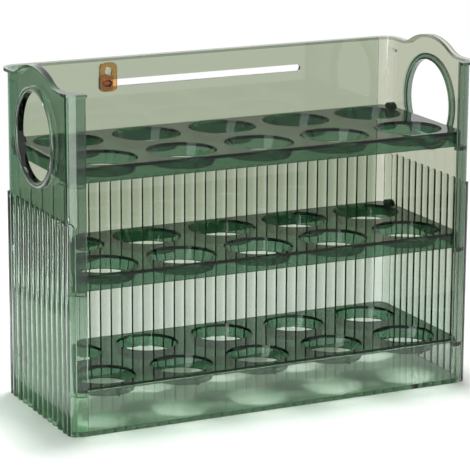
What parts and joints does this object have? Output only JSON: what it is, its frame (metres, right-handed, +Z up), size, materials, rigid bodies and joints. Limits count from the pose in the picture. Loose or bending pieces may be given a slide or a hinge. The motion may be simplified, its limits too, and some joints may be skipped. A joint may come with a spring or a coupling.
{
  "type": "egg holder",
  "caption": "Clear green open-front egg rack with flip-up trays on rear pivots, a lift-out bottom tray over a shallow base, round carrying holes and a sliding date marker.",
  "frame": {"origin": "middle of the bottom, at the height of the surface that the base stands on", "axes": "+X to the right seen from the open front, along the long side; +Y to the back wall; +Z up"},
  "size_m": [0.2648, 0.1068, 0.2073],
  "materials": {
    "clear_green_wall": "clear green injection-moulded plastic, high gloss",
    "clear_green_base": "clear green injection-moulded plastic, high gloss",
    "clear_green_tray": "clear green injection-moulded plastic, high gloss",
    "amber_marker": "clear amber-brown moulded plastic"
  },
  "bodies": {
    "holder": {"left_side_panel": "clear_green_wall", "right_side_panel": "clear_green_wall", "back_panel": "clear_green_wall", "base": "clear_green_base"},
    "upper_tray": {"upper_flip_tray": "clear_green_tray"},
    "middle_tray": {"middle_flip_tray": "clear_green_tray"},
    "lower_tray": {"bottom_tray": "clear_green_tray"},
    "marker": {"date_marker": "amber_marker", "marker_clip": "amber_marker"}
  },
  "joints": [
    {"name": "upper_tray_flip", "type": "hinge", "parent": "holder", "child": "upper_tray", "pos_m": [0, 0.0389, 0.1539], "axis": [-1, 0, 0], "range_deg": [0, 95]},
    {"name": "middle_tray_flip", "type": "hinge", "parent": "holder", "child": "middle_tray", "pos_m": [0, 0.0389, 0.0913], "axis": [-1, 0, 0], "range_deg": [0, 32]},
    {"name": "bottom_tray_lift", "type": "slide", "parent": "holder", "child": "lower_tray", "axis": [0, 0, 1], "range_m": [0, 0.04]},
    {"name": "date_marker_slide", "type": "slide", "parent": "holder", "child": "marker", "axis": [1, 0, 0], "range_m": [0, 0.1265]}
  ]
}
